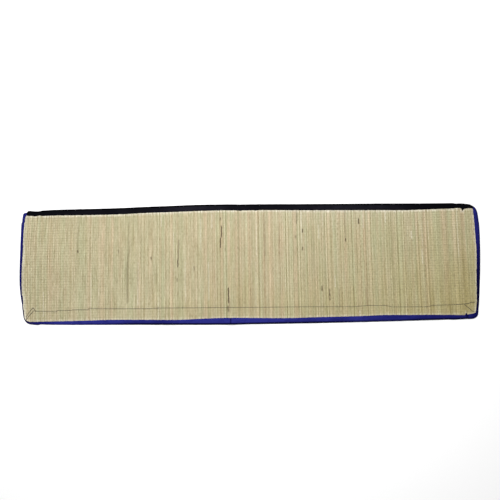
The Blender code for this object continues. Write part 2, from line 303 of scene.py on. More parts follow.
# How far the hue strays, in bunches of strands and from strand to strand
ROSY_BUNCHED = 0.40
ROSY_OVER = 9
ROSY_CALM = 0.10
ROSY_LIVELY = 0.22

# The strands are palest beside the strips. FACING tells the edge's ends from its long sides
TIP_REACH = 0.0085
TIP_REACHES = (0.6, 1.5)
TIP_SHARES = (0.5, 1.15)
TIP_LEFT = 1.0
TIP_RIGHT = 0.65
TIP_NEAR = 0.45
FACING = 0.7

# At the left end the strands follow the bulge of the edge, less and less away from it
BULGE = 0.0090
BULGE_FADE = 0.22
BULGE_SPAN = 0.22

# Darker and more olive from one place along the mat to the right end, by a share along its middle line
# and most at the near side: partly the mat's yellowing with age, partly painted shade where the light falls
# off
AGE_SHADE_FROM = 0.10
AGE_SHADE_OVER = 0.80
AGE_SHADE_ACROSS = 0.50
AGE_SHADE_MIDDLE = 0.55

# Stripes that stand out in the weave: middle and half width in millimetres, lightness, and rosy above
# 0 or green below it. All but the broad ones hold their own tone by a share
Stripe = namedtuple("Stripe", "x half light rosy")
STRIPES = listed(Stripe, [
    (-584, 1.8, -0.10, 0.2), (-488, 2.4, -0.14, -0.5), (-289, 1.8, -0.12, 0.3), (-261, 1.8, 0.12, 0.0),
    (-118, 1.8, -0.12, 0.2), (-76, 2.4, 0.10, -0.1), (-48, 3, -0.15, -0.5), (-15, 3, 0.14, 0.0),
    (6, 3.6, -0.12, 0.2), (21, 1.8, 0.13, 0.1), (55, 3, -0.20, 0.8), (74, 3.6, 0.11, 0.1),
    (117, 1.8, -0.22, 0.2), (132, 2.4, 0.12, -0.1), (161, 1.8, 0.13, 0.1), (182, 2.4, -0.10, 0.9),
    (244, 2.4, -0.14, 0.1), (291, 2.4, -0.14, 0.0), (310, 1.8, 0.14, 0.3), (354, 1.8, -0.13, 0.1),
    (411, 3, 0.05, -0.8), (447, 3.6, 0.08, -0.9), (459, 1.8, -0.18, 0.7), (474, 3, 0.14, 0.2),
    (497, 9, 0.00, -0.9), (561, 1.8, -0.14, 0.2), (600, 12, 0.06, -0.8), (682, 1.8, 0.14, 0.3),
    (692, 1.8, -0.14, 0.0), (736, 7, 0.12, -0.8), (783, 2.4, -0.10, 0.1), (815, 7, 0.12, 0.3),
    (846, 3, -0.16, 0.5), (-816, 14, 0.01, -0.60), (-640, 24, 0.00, 0.28), (-175, 40, -0.015, -0.20),
    (-60, 80, -0.03, 0.0), (-219, 16, 0.00, -0.35), (-21, 14, 0.01, -0.72), (95, 36, 0.00, 0.38),
    (366, 22, 0.02, -0.42), (530, 60, 0.01, -0.20), (751, 26, 0.02, -0.25), (835, 20, 0.00, 0.25),
])
BROAD = 12
STRIPE_HOLD = 0.5

# Soft patches over many strands, aged brown, and paler and less yellow: place, half widths, strength
Patch = namedtuple("Patch", "x y half_x half_y share")
STAINS = listed(Patch, [
    (0.170, -0.170, 0.280, 0.065, 0.25), (0.850, -0.110, 0.045, 0.110, 0.18),
    (-0.044, -0.105, 0.090, 0.100, 0.20), (-0.260, -0.175, 0.120, 0.045, 0.20),
    (-0.578, -0.120, 0.030, 0.090, 0.12), (0.265, -0.085, 0.030, 0.050, 0.20),
])
PALER_PATCHES = listed(Patch, [
    (0.330, 0.215, 0.380, 0.060, 0.12),
])

# How strongly a mark shows: the share of the strand's own colour that it takes
TRACE = 0.15
FAINT = 0.30
CLEAR = 0.50
STRONG = 0.75
FULL = 1.00

# Marks on single strands, in millimetres: place along the mat, reach across it, and half width
Fleck = namedtuple("Fleck", "depth x y_from y_to half")
FLECK_HALF = 2.3
BROAD_FLECK_HALF = 2.4
PALE_HALF = 1.7
MARK_FADE = 2.5


def flecks(half, table):
    """Marks of one half width, by how strongly they show."""
    return [Fleck(depth, *place, half) for depth, places in table.items() for place in places]


# Dark flecks, where a stem was bruised
FLECKS = flecks(FLECK_HALF, {
    FULL: [
        (-115, 108, 151), (-118, 66, 104), (-89, -124, -97), (-90, -154, -120), (-289, -9, 20),
        (-687, 55, 63), (210, 121, 133), (312, -132, -123), (381, 83, 95), (435, 152, 172),
    ],
    STRONG: [
        (-119, 175, 186), (-91, -188, -168), (-395, 22, 32), (208, 49, 61), (281, -112, -94),
        (312, -117, -108), (312, -148, -139),
    ],
    CLEAR: [
        (-285, 66, 97), (-287, 24, 62), (-291, -66, -56), (-526, 52, 62), (-226, -24, -8), (183, 98, 107),
        (186, 158, 172),
    ],
    FAINT: [
        (-617, 102, 111), (-531, -67, -57), (-100, 52, 62), (-50, 60, 69), (347, -199, -104),
        (455, -173, -106), (-287, 191, 215), (188, 167, 203), (381, 84, 204), (-84, -190, -135),
    ],
    TRACE: [(-484, 37, 174), (116, 28, 140)],
})
FLECKS += flecks(BROAD_FLECK_HALF, {
    CLEAR: [(-366, -175, -167)],
    FAINT: [(-486, -150, 48), (-492, -148, 14)],
})
FLECKS += [Fleck(TRACE, -687, 52, 201, 3.5), Fleck(TRACE, 59, 28, 177, 4.5)]

# Pale streaks, where a stem has lost its rind
PALE_STREAKS = flecks(PALE_HALF, {
    STRONG: [(-152, 140, 213), (452, 138, 203), (427, -214, -195)],
    CLEAR: [(-354, 151, 208), (542, 156, 205), (645, 90, 119)],
    FAINT: [
        (-197, 57, 181), (-306, 58, 126), (25, 29, 161), (205, 140, 207), (274, 93, 149), (684, -10, 45),
        (-820, -194, -100), (-448, -157, 13), (-364, -209, -123), (-167, -142, 8), (334, -99, -52),
    ],
    TRACE: [
        (205, 82, 140), (290, 141, 208), (687, 60, 155), (711, 86, 158), (828, 16, 201),
        (-634, -209, -28), (-602, -154, -92), (-259, -152, 10), (19, -164, 5), (137, -96, -56),
    ],
})

STRAW = (0.463, 0.407, 0.256, 1.0)
GREEN = (0.428, 0.409, 0.248, 1.0)
ROSY = (0.496, 0.398, 0.254, 1.0)
BRUISED = (0.105, 0.074, 0.038, 1.0)
PALE_TIP = (0.790, 0.740, 0.610, 1.0)
# Darker and more olive: the colour of age, also used as painted shade where the light falls off
AGED_AND_SHADED = (0.372, 0.316, 0.141, 1.0)

# A light stem is bleached and a dark one is fuller in colour: how far each channel follows the tone
BLEACH = (0.95, 1.05, 1.30)

# How far the sedge's markings run, in metres, and the slice of the noise that each of them reads
STREAK_LONG = 0.090
BLOTCH_LONG = 0.016
BLOTCH_SLICE = 30.0
CLOUD_WIDE = 0.023
CLOUD_LONG = 0.160
CLOUD_SLICE = 7.0
DRY_WIDE = 0.022
DRY_LONG = 0.200
DRY_SLICE = 90.0
DRIFT_LONG = 0.110
DRIFT_SLICE = 60.0
FIBRE = (0.00035, 0.030, 0.00035)
FIBRE_DETAIL = 3.0

# How much each marking changes the hue, the tone, a bruise, the relief and the gloss
GREENER = 0.10
CLOUD_HUE = 2.8
CALM_HUE = 1.0
DRIFT_HUE = 1.1
STREAK_TONE = 0.60
STREAK_CALM = 0.50
BLOTCH_TONE = 0.50
FIBRE_TONE = 0.14
FIBRE_BRUISE = 0.8
FIBRE_RELIEF = 0.35
FIBRE_ROUGH = 0.15
SEDGE_ROUGH = 0.55
SEDGE_GLOSS = 0.30
RELIEF = 0.0002


class Term:
    """A socket of a node tree. Sums written on a number add the tree's Math nodes."""

    def __init__(self, tree, socket):
        self.tree = tree
        self.socket = socket

    def out(self, name):
        """Another output of the same node."""
        return Term(self.tree, self.socket.node.outputs[name])

    def math(self, operation, *terms):
        """The result of one Math node."""
        node = self.tree.nodes.new("ShaderNodeMath")
        node.operation = operation
        for place, term in zip(node.inputs, terms):
            if isinstance(term, Term):
                self.tree.links.new(term.socket, place)
            else:
                place.default_value = term
        return Term(self.tree, node.outputs[0])

    def __add__(self, other):
        return self.math("ADD", self, other)

    def __radd__(self, other):
        return self.math("ADD", other, self)

    def __sub__(self, other):
        return self.math("SUBTRACT", self, other)

    def __rsub__(self, other):
        return self.math("SUBTRACT", other, self)

    def __mul__(self, other):
        return self.math("MULTIPLY", self, other)

    def __rmul__(self, other):
        return self.math("MULTIPLY", other, self)

    def __truediv__(self, other):
        return self.math("DIVIDE", self, other)

    def wave(self, length):
        """A cosine of this number, with one whole turn for each length."""
        return self.math("COSINE", self * (2 * math.pi / length))

    def clip(self):
        """This number, kept between 0 and 1."""
        return self.math("MAXIMUM", self.math("MINIMUM", self, 1.0), 0.0)


class Graph:
    """A node tree that is being put together."""

    def __init__(self, tree):
        self.tree = tree

    def feed(self, node, inputs):
        """Set or link sockets of a node."""
        for place, value in inputs.items():
            if isinstance(value, Term):
                self.tree.links.new(value.socket, node.inputs[place])
            else:
                node.inputs[place].default_value = value

    def node(self, kind, settings=None, inputs=None, output=0):
        """Add a node: its settings first, then the values or links of its sockets."""
        node = self.tree.nodes.new(kind)
        for name, value in (settings or {}).items():
            setattr(node, name, value)
        self.feed(node, inputs or {})
        return Term(self.tree, node.outputs[output])

    def mix(self, share, first, second, how="MIX"):
        """A mix of two colours. Sockets 6 and 7 are the node's colours, and output 2 is their mix."""
        settings = {"data_type": "RGBA", "blend_type": how}
        return self.node("ShaderNodeMix", settings, {0: share, 6: first, 7: second}, 2)

    def vector(self, x, y, z):
        """A vector of three numbers."""
        return self.node("ShaderNodeCombineXYZ", None, {0: x, 1: y, 2: z})

    def parts(self, vector):
        """The three numbers of a vector."""
        xyz = self.node("ShaderNodeSeparateXYZ", None, {0: vector})
        return [xyz.out(axis) for axis in "XYZ"]

    def own_place(self):
        """The x, y and z of a place on the piece."""
        return self.parts(self.node("ShaderNodeTexCoord", None, None, "Object"))

    def known(self, label):
        """A number that the mesh keeps at each point."""
        return self.node("ShaderNodeAttribute", {"attribute_name": label}, None, "Fac")

    def scaled(self, colour, share):
        """A colour made lighter or darker."""
        return self.node("ShaderNodeVectorMath", {"operation": "SCALE"}, {0: colour, "Scale": share})

    def bump(self, strength, height):
        """The normal over a fine relief."""
        relief = {"Strength": strength, "Distance": RELIEF, "Height": height}
        return self.node("ShaderNodeBump", None, relief)

    def noise(self, x, y, z, detail=2.0):
        """Smooth noise about 0, over a place given by three numbers."""
        inputs = {"Vector": self.vector(x, y, z), "Scale": 1.0, "Detail": detail}
        return self.node("ShaderNodeTexNoise", None, inputs) - 0.5

    def grain(self, xyz, lengths, detail=2.0):
        """Noise at a place, with patches about as long as given along x, y and z."""
        return self.noise(*[part / length for part, length in zip(xyz, lengths)], detail)


def new_material(name, constants):
    """A material, the graph of its tree, and its shader with the constants set."""
    material = bpy.data.materials.new(name)
    material.use_nodes = True
    shader = material.node_tree.nodes["Principled BSDF"]
    for place, value in constants.items():
        shader.inputs[place].default_value = value
    return material, Graph(material.node_tree), shader


def patch_share(patch, x, y):
    """How much of a soft patch there is at a place."""
    off_x, off_y = (x - patch.x) / patch.half_x, (y - patch.y) / patch.half_y
    off = (off_x * off_x + off_y * off_y) * -1.0
    return off.math("EXPONENT", off) * patch.share


SEDGE_FINISH = {"Roughness": SEDGE_ROUGH, "Specular IOR Level": SEDGE_GLOSS}
korai_grass, graph, shader = new_material("korai_grass", SEDGE_FINISH)
x, y, z = graph.own_place()
tone, rosy, bruise, tip, stem = [graph.known(label) for label in ("tone", "rosy", "bruise", "tip", "stem")]
streak = graph.noise(stem, y / STREAK_LONG, 0.0)
blotch = graph.noise(stem, y / BLOTCH_LONG, BLOTCH_SLICE, 1.0)
cloud = graph.noise(x / CLOUD_WIDE, y / CLOUD_LONG, CLOUD_SLICE)
dry = graph.noise(x / DRY_WIDE, y / DRY_LONG, DRY_SLICE)
fibre = graph.grain((x, y, z), FIBRE, FIBRE_DETAIL)
calm = ((CALM_TO + CALM_FADE - x) / (2 * CALM_FADE)).clip()
drift = graph.noise(stem, y / DRIFT_LONG, DRIFT_SLICE)
hue = rosy - GREENER + cloud * (CLOUD_HUE - calm * CALM_HUE) + drift * DRIFT_HUE
colour = graph.mix(hue.clip(), STRAW, ROSY)
colour = graph.mix((hue * -1.0).clip(), colour, GREEN)
# Partly yellowing with age and partly painted shade where the light falls off to the right and near side,
# with dry streaks and stains added
age_and_shade = ((x - AGE_SHADE_FROM) / AGE_SHADE_OVER).clip() * (AGE_SHADE_MIDDLE - y / AGE_SHADE_ACROSS)
age_and_shade = age_and_shade.clip() + dry
for patch in STAINS:
    age_and_shade = age_and_shade + patch_share(patch, x, y)
# Paler and less yellow beside the strips and in the patches along the far side
paler = tip
for patch in PALER_PATCHES:
    paler = paler + patch_share(patch, x, y)
colour = graph.mix(age_and_shade.clip(), colour, AGED_AND_SHADED)
colour = graph.mix(paler.clip(), colour, PALE_TIP)
lift = tone + streak * (STREAK_TONE + calm * STREAK_CALM) + blotch * BLOTCH_TONE + fibre * FIBRE_TONE
light = graph.vector(*[1.0 + lift * share for share in BLEACH])
colour = graph.node("ShaderNodeVectorMath", {"operation": "MULTIPLY"}, {0: colour, 1: light})
colour = graph.mix((bruise * (1.0 + fibre * FIBRE_BRUISE)).clip(), colour, BRUISED)
ridges = graph.bump(FIBRE_RELIEF, fibre)
graph.feed(shader, {"Base Color": colour, "Normal": ridges, "Roughness": SEDGE_ROUGH + fibre * FIBRE_ROUGH})


def group_tree(name, kinds):
    """A Geometry Nodes tree with named inputs, the graph to build it, and its inputs."""
    tree = bpy.data.node_groups.new(name, "GeometryNodeTree")
    tree.interface.new_socket("Geometry", in_out="OUTPUT", socket_type="NodeSocketGeometry")
    tree.interface.new_socket("Lines", in_out="INPUT", socket_type="NodeSocketGeometry")
    for label, kind in kinds.items():
        tree.interface.new_socket(label, in_out="INPUT", socket_type="NodeSocket" + kind)
    entry = tree.nodes.new("NodeGroupInput")
    return tree, Graph(tree), {socket.name: Term(tree, socket) for socket in entry.outputs if socket.name}


def close_tree(graph, geometry, material):
    """The tree's end: instances made real, and their material set."""
    real = graph.node("GeometryNodeRealizeInstances", None, {0: geometry})
    painted = graph.node("GeometryNodeSetMaterial", None, {"Geometry": real, "Material": material})
    graph.tree.links.new(painted.socket, graph.tree.nodes.new("NodeGroupOutput").inputs[0])


def struck_height(graph, item, x, y, start):
    """The height where an upright ray, from a height above or below the mat, meets an object."""
    target = graph.node("GeometryNodeObjectInfo", {"transform_space": "RELATIVE"}, {0: item}, "Geometry")
    ray = {
        "Target Geometry": target,
        "Source Position": graph.vector(x, y, start),
        "Ray Direction": graph.vector(0.0, 0.0, start * -1.0),
        "Ray Length": 2 * HIGH,
    }
    # Output 1 is the place where the ray meets the surface
    struck = graph.node("GeometryNodeRaycast", None, ray, 1)
    return graph.parts(struck)[2]


# How far in a height is read where the place lies off the surface
DRAWN_IN_X = 0.985
DRAWN_IN_Y = 0.97


def seat_height(graph, item, x, y, start):
    """The height of an object's surface, read a little further in where the place lies just off it."""
    here = struck_height(graph, item, x, y, start)
    return here.math("MAXIMUM", here, struck_height(graph, item, x * DRAWN_IN_X, y * DRAWN_IN_Y, start))


WOVEN_INPUTS = {
    "Panel": "Object",
    "From": "Float",
    "Depth": "Float",
    "Swing": "Float",
    "Warp pitch": "Float",
    "Flatness": "Float",
    "Sides": "Int",
    "Material": "Material",
}
woven_tree, graph, given = group_tree("woven line", WOVEN_INPUTS)
x, y, z = graph.parts(graph.node("GeometryNodeInputPosition"))
turn = (y / given["Warp pitch"]).wave(WARPS_A_WAVE)
side = graph.node("GeometryNodeInputNamedAttribute", {"data_type": "FLOAT"}, {0: "side"})
panel_top = seat_height(graph, given["Panel"], x, y, given["From"])
height = panel_top - given["Depth"] + turn * side * given["Swing"]
moved = {"Geometry": given["Lines"], "Position": graph.vector(x, y, height)}
lines = graph.node("GeometryNodeSetPosition", None, moved)
lines = graph.node("GeometryNodeMeshToCurve", None, {0: lines})
lines = graph.node("GeometryNodeSetCurveNormal", {"mode": "Z_UP"}, {0: lines})
outline = graph.node("GeometryNodeCurvePrimitiveCircle", None, {0: given["Sides"], "Radius": 1.0})
around = graph.node("GeometryNodeInputIndex") / given["Sides"]
stored = {"Geometry": outline, "Name": "around", "Value": around}
outline = graph.node("GeometryNodeStoreNamedAttribute", {"data_type": "FLOAT", "domain": "POINT"}, stored)
flat = {"Geometry": outline, "Scale": graph.vector(1.0, given["Flatness"], 1.0)}
outline = graph.node("GeometryNodeTransform", None, flat)
half = graph.node("GeometryNodeInputNamedAttribute", {"data_type": "FLOAT"}, {0: "half"})
swept = {"Curve": lines, "Profile Curve": outline, "Scale": half, "Fill Caps": True}
tubes = graph.node("GeometryNodeCurveToMesh", None, swept)
close_tree(graph, graph.node("GeometryNodeSetShadeSmooth", None, {0: tubes}), given["Material"])


def store(mesh, label, values):
    """Keep a number at each point of a mesh."""
    layer = mesh.attributes.new(label, "FLOAT", "POINT")
    layer.data.foreach_set("value", values.astype(np.float32))


def lay_map(mesh, name, places):
    """Give a mesh a map: a place for each corner of its faces."""
    layer = mesh.uv_layers.new(name=name)
    layer.data.foreach_set("uv", np.array(places, np.float32).ravel())


def in_scene(name, data):
    """A new object of the scene."""
    piece = bpy.data.objects.new(name, data)
    bpy.context.scene.collection.objects.link(piece)
    return piece


def carried(piece):
    """Let a piece move with the mat."""
    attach(piece, BODY)


def line_mesh(name, runs, facts):
    """A mesh of separate lines, with numbers kept at each point."""
    points = np.concatenate(runs)
    links = []
    start = 0
    for run in runs:
        links += [(index, index + 1) for index in range(start, start + len(run) - 1)]
        start += len(run)
    mesh = bpy.data.meshes.new(name)
    mesh.from_pydata(points.tolist(), links, [])
    for label, values in facts.items():
        store(mesh, label, np.concatenate(values))
    return mesh


def grow(name, mesh, tree, values):
    """Run a Geometry Nodes tree on a mesh, and keep the result as a plain mesh."""
    piece = in_scene(name, mesh)
    modifier = piece.modifiers.new(name, "NODES")
    modifier.node_group = tree
    for item in tree.interface.items_tree:
        if item.in_out == "INPUT" and item.name in values:
            modifier[item.identifier] = values[item.name]
    view = bpy.context.evaluated_depsgraph_get()
    made = bpy.data.meshes.new_from_object(piece.evaluated_get(view))
    piece.modifiers.remove(modifier)
    piece.data = made
    made.name = name
    return piece


# The margins of the map for baking: beside each tube, and at its two ends. A face that spans over
# half a turn closes the tube, and its corners in the first quarter belong to the next turn
TUBE_MARGIN = 0.05
END_MARGIN = 0.01
HALF_TURN = 0.5
FIRST_QUARTER = 0.25


def unroll_tubes(mesh, rows):
    """A map for baking: each tube is one narrow upright strip, side by side with the others."""
    values = {}
    for label in ("row", "around", "run"):
        values[label] = np.empty(len(mesh.vertices), np.float32)
        mesh.attributes[label].data.foreach_get("value", values[label])
    corner = np.empty(len(mesh.loops), np.int32)
    mesh.loops.foreach_get("vertex_index", corner)
    starts = np.empty(len(mesh.polygons), np.int32)
    mesh.polygons.foreach_get("loop_start", starts)
    turns = values["around"][corner]
    least = np.minimum.reduceat(turns, starts)
    most = np.maximum.reduceat(turns, starts)
    owner = np.zeros(len(corner), np.int32)
    owner[starts[1:]] = 1
    owner = np.cumsum(owner)
    wraps = (most - least > HALF_TURN)[owner] & (turns < FIRST_QUARTER)
    turns = np.where(wraps, turns + 1.0, turns)
    across = (values["row"][corner] + TUBE_MARGIN + (1 - 2 * TUBE_MARGIN) * turns) / rows
    along = END_MARGIN + (1 - 2 * END_MARGIN) * values["run"][corner]
    lay_map(mesh, "OFBake", np.stack([across, along], 1))
    for label in ("row", "around", "run", "side", "half"):
        if label in mesh.attributes:
            mesh.attributes.remove(mesh.attributes[label])


def crossed(axis, at):
    """Where the wall crosses a place along an axis: at which of its points, and the points after them."""
    ahead = np.roll(wall, -1, 0)
    low, high = np.minimum(wall[:, axis], ahead[:, axis]), np.maximum(wall[:, axis], ahead[:, axis])
    cross = (low <= at) & (at < high)
    return wall[cross], ahead[cross]


def reach_across(x, inset):
    """The lowest and highest y of the panel at a place along the mat."""
    here, ahead = crossed(0, x)
    y = here[:, 1] + (ahead[:, 1] - here[:, 1]) * ((x - here[:, 0]) / (ahead[:, 0] - here[:, 0]))
    return y.min() + inset, y.max() - inset


def leaning(middle, y):
    """Where a strand lies along the mat at places across it: the left ones follow the end's bulge."""
    return middle + BULGE * math.exp((panel_low.x - middle) / BULGE_FADE) * (y / BULGE_SPAN) ** 2


def marked(marks, xs, ys):
    """How strongly the marks that lie on a strand show at the places along it."""
    depth = np.zeros(len(ys))
    for mark in marks:
        there = np.interp((mark.y_from + mark.y_to) / 2, ys / MM, xs / MM)
        if abs(there - mark.x) < mark.half:
            inside = np.minimum(ys / MM - mark.y_from, mark.y_to - ys / MM) / MARK_FADE + 1
            depth = np.maximum(depth, mark.depth * np.clip(inside, 0, 1))
    return depth


def smoothed(values, width):
    """Running mean of random numbers, brought back to unit spread."""
    window = np.hanning(width + 2)[1:-1]
    mean = np.convolve(values, window / window.sum(), "same")
    return mean / mean.std()


random = np.random.default_rng(SEED)
panel_low, panel_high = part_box("korai_panel")
strand_count = int((panel_high.x - panel_low.x - 2 * STRAND_HALF) / STRAND_PITCH)
strand_x = panel_low.x + STRAND_HALF + STRAND_PITCH * (np.arange(strand_count) + 0.5)
strand_x = strand_x + random.uniform(-STRAND_SHIFT, STRAND_SHIFT, strand_count)
drawn = np.clip(random.normal(size=strand_count), -TONE_LIMIT, TONE_LIMIT)
mixed = drawn - UNLIKE * (np.roll(drawn, NEXT_BUT_ONE) + np.roll(drawn, -NEXT_BUT_ONE)) / 2
mixed -= EVEN_BY * np.convolve(mixed, np.ones(EVEN_OVER) / EVEN_OVER, "same")
mixed /= mixed.std()
calm = np.clip((CALM_TO + CALM_FADE - strand_x) / (2 * CALM_FADE), 0, 1)
strand_tone = mixed * (TONE_LIVELY + (TONE_CALM - TONE_LIVELY) * calm)
strand_rosy = ROSY_BUNCHED * smoothed(random.normal(size=strand_count), ROSY_OVER)
strand_rosy += (ROSY_LIVELY + (ROSY_CALM - ROSY_LIVELY) * calm) * random.normal(size=strand_count)
for stripe in STRIPES:
    share = np.exp(-(((strand_x / MM - stripe.x) / stripe.half) ** 2))
    held = STRIPE_HOLD * share * (stripe.half < BROAD)
    strand_tone = strand_tone * (1 - held) + stripe.light * share
    strand_rosy = strand_rosy * (1 - held) + stripe.rosy * share

tip_share = np.full(len(edge_inner), TIP_NEAR)
tip_share[edge_normals[:, 0] > FACING] = TIP_LEFT
tip_share[edge_normals[:, 0] < -FACING] = TIP_RIGHT
tip_share[edge_is_black] = 1.0
seam = KDTree(len(edge_inner))
for index, place in enumerate(edge_inner):
    seam.insert((place[0], place[1], 0.0), index)
seam.balance()

strands = []
strand_facts = []
for index, middle in enumerate(strand_x):
    low, high = reach_across(middle, END_TIP)
    for _ in range(END_TRIES):
        low = reach_across(leaning(middle, low), END_TIP)[0]
        high = reach_across(leaning(middle, high), END_TIP)[1]
    low += random.uniform(0, END_UNEVEN)
    high -= random.uniform(0, END_UNEVEN)
    first = math.ceil(low / (WARP_PITCH / 2) + END_CLEAR)
    last = math.floor(high / (WARP_PITCH / 2) - END_CLEAR)
    ys = np.concatenate([[low], np.arange(first, last + 1) * WARP_PITCH / 2, [high]])
    sway = STRAND_BOW * np.sin(2 * np.pi * (ys / random.uniform(*BOW_LENGTHS) + random.uniform()))
    xs = leaning(middle, ys)
    strands.append(np.stack([xs + sway, ys, np.zeros(len(ys))], 1))
    found = [seam.find((x, y, 0.0)) for x, y in zip(xs, ys)]
    from_seam = np.array([distance for _, _, distance in found])
    rim = np.array([tip_share[nearest] for _, nearest, _ in found])
    tip = np.clip(1.0 - from_seam / (TIP_REACH * random.uniform(*TIP_REACHES)), 0, 1)
    tip = tip * rim * random.uniform(*TIP_SHARES)
    half = STRAND_HALF + np.clip(random.normal(), THINNEST, THICKEST) * STRAND_UNEVEN
    strand_facts.append(
        {
            "tone": np.full(len(ys), strand_tone[index]),
            "rosy": np.full(len(ys), strand_rosy[index]),
            "stem": np.full(len(ys), random.uniform(0, STEM_SPREAD)),
            "bruise": marked(FLECKS, xs, ys),
            "tip": np.maximum(tip, marked(PALE_STREAKS, xs, ys)),
            "half": np.full(len(ys), half),
            "side": np.full(len(ys), 1.0 if index % 2 else -1.0),
            "run": (ys - panel_low.y) / (panel_high.y - panel_low.y),
        }
    )

BUNDLES = ("korai_green", "korai_straw", "korai_rosy")
ranking = np.argsort(strand_rosy)
woven = []
woven_values = {
    "Panel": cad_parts["korai_panel"],
    "From": HIGH,
    "Depth": PANEL_MIDDLE,
    "Swing": WEAVE_DEPTH,
    "Warp pitch": WARP_PITCH,
    "Flatness": STRAND_FLAT,
    "Sides": TUBE_SIDES,
    "Material": korai_grass,
}
for bundle, members in zip(BUNDLES, np.array_split(ranking, len(BUNDLES))):
    members = np.sort(members)
    facts = {label: [strand_facts[i][label] for i in members] for label in strand_facts[0]}
    facts["row"] = [np.full(len(strands[i]), float(row)) for row, i in enumerate(members)]
    lines = line_mesh(bundle, [strands[i] for i in members], facts)
    piece = grow(bundle, lines, woven_tree, woven_values)
    unroll_tubes(piece.data, len(members))
    carried(piece)
    woven.append((piece, len(members)))
for piece, count in woven:
    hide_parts("korai_panel")


# The warps. They are straight cotton threads along the mat, under tension in the loom, and the
# strands bend over and under them. Each shows between two strands where the middle one dips.

WARP_HALF = 0.00040
WARP_STEP = 0.018
WARP_END = 0.004
WARP_COLOUR = (0.44, 0.38, 0.23)
WARP_PLY = (0.0009, 0.0004, 0.0004)
WARP_UNEVEN = 0.5
WARP_TWIST = 0.4
WARP_ROUGH = 0.85
THREAD_GLOSS = 0.2


def cotton_thread(name, roughness, colour, ply, uneven, twist):
    """Spun cotton: its colour, the lengths of its plies, how uneven they are and how deep they twist."""
    finish = {"Roughness": roughness, "Specular IOR Level": THREAD_GLOSS}
    material, graph, shader = new_material(name, finish)
    plies = graph.grain(graph.own_place(), ply)
    shade = graph.scaled(colour, 1.0 + plies * uneven)
    graph.feed(shader, {"Base Color": shade, "Normal": graph.bump(twist, plies)})
    return material


warp_cotton = cotton_thread("warp_cotton", WARP_ROUGH, WARP_COLOUR, WARP_PLY, WARP_UNEVEN, WARP_TWIST)

warps = []
warp_facts = {"half": [], "side": [], "row": [], "run": []}
first_warp = math.ceil((panel_low.y + WARP_END) / WARP_PITCH)
last_warp = math.floor((panel_high.y - WARP_END) / WARP_PITCH)
for row, number in enumerate(range(first_warp, last_warp + 1)):
    y = number * WARP_PITCH
    ends = crossed(1, y)[0][:, 0]
    low, high = ends[ends < 0].max() + WARP_END, ends[ends > 0].min() - WARP_END
    xs = np.linspace(low, high, round((high - low) / WARP_STEP))
    warps.append(np.stack([xs, np.full(len(xs), y), np.zeros(len(xs))], 1))
    warp_facts["half"].append(np.full(len(xs), WARP_HALF))
    warp_facts["side"].append(np.zeros(len(xs)))
    warp_facts["row"].append(np.full(len(xs), float(row)))
    warp_facts["run"].append((xs - panel_low.x) / (panel_high.x - panel_low.x))
warp_lines = line_mesh("cotton_warps", warps, warp_facts)
warp_values = dict(woven_values, Swing=0.0, Flatness=1.0, Material=warp_cotton)
cotton_warps = grow("cotton_warps", warp_lines, woven_tree, warp_values)
unroll_tubes(cotton_warps.data, len(warps))
carried(cotton_warps)


# The cloth border. It is thin plain-woven cotton: a strip is sewn to the face near the edge,
# turned over the ends of the strands, and laid as a wide hem on the back, mitred at the corners.

# The cloth's thickness, its rolled inner edge, and the turn round the mat's edge: how high, how far
# in on the face and on the back, and how far in the painted shade on its outer turn reaches
CLOTH = 0.0007
FOLD_HALF = 0.00055
EDGE_HIGH = 0.0056
TURN_HIGH = 0.0028
TURN_WIDE = 0.0085
TURN_UNDER = 0.0036
TURN_SHADE_REACH = 0.0080
TURN_SHADE_FADE = 0.0024

# How far the hem reaches on the back, from the mat's box
HEM_LEFT = 0.064
HEM_RIGHT = 0.076
HEM_NEAR = 0.075
HEM_FAR = 0.036

# How far the seam presses the face down, how it bulges beside it, puckers and sways
PRESS = 0.0005
CROWN = 0.00035
PUCKER = 0.00022
SWAY = 0.00035
PUCKER_LENGTH = 0.030
PUCKER_SHORT = 0.011
PUCKER_MINOR = 0.6
SWAY_LENGTH = 0.060
FRAY_LENGTH = 0.016
RIPPLE_PARTS = (0.55, 0.8, 1.15, 1.7, 2.6)
RIPPLE_HEIGHT = 2.2

# Where a section has its points: in and down from the rolled edge in shares of the fold, across the
# face, round the turn and across the hem
ROLLED = ((0.0, 1.0), (0.5, 0.3), (2.0, 0.0))
FACE_SHARES = (0.25, 0.5, 0.75)
TURN_STEPS = 6
UNDER_STEPS = 4
HEM_SHARES = (0.2, 0.45, 0.7, 0.9)
HEM_END_RISE = 0.6
TURN_SHARE = 0.75

# The hem's lift is felt just short of its end. At the edge itself the turn sways and is dented less
HEM_FELT = 0.0015
EDGE_PART = 0.004
EDGE_SWAY = 0.3
EDGE_DENT = 0.4
BLACK_SEED = 21
BLUE_SEED = 31

# Creases across a strip, in millimetres: place along the mat, half width, depth, and how far the
# seam is tugged in
Crease = namedtuple("Crease", "x half depth tug", defaults=[0.0])
BLUE_CREASES = listed(Crease, [
    (-82, 2.0, 1.0), (-352, 5.0, 0.5), (-318, 4.0, 0.4), (318, 3.0, 0.3), (848, 1.8, 1.1),
    (-640, 3.0, 0.4),
])
BLACK_CREASES = listed(Crease, [
    (-38, 4.0, 0.9, 2.0), (-14, 3.0, 0.7, 0.5), (10, 2.2, 0.8), (24, 6.0, 0.8, 2.0), (434, 2.5, 0.8, 0.4),
    (464, 3.5, 0.7, 0.8), (537, 2.5, 0.8), (564, 3.0, 0.7, 0.4), (-500, 4.0, 0.4),
])
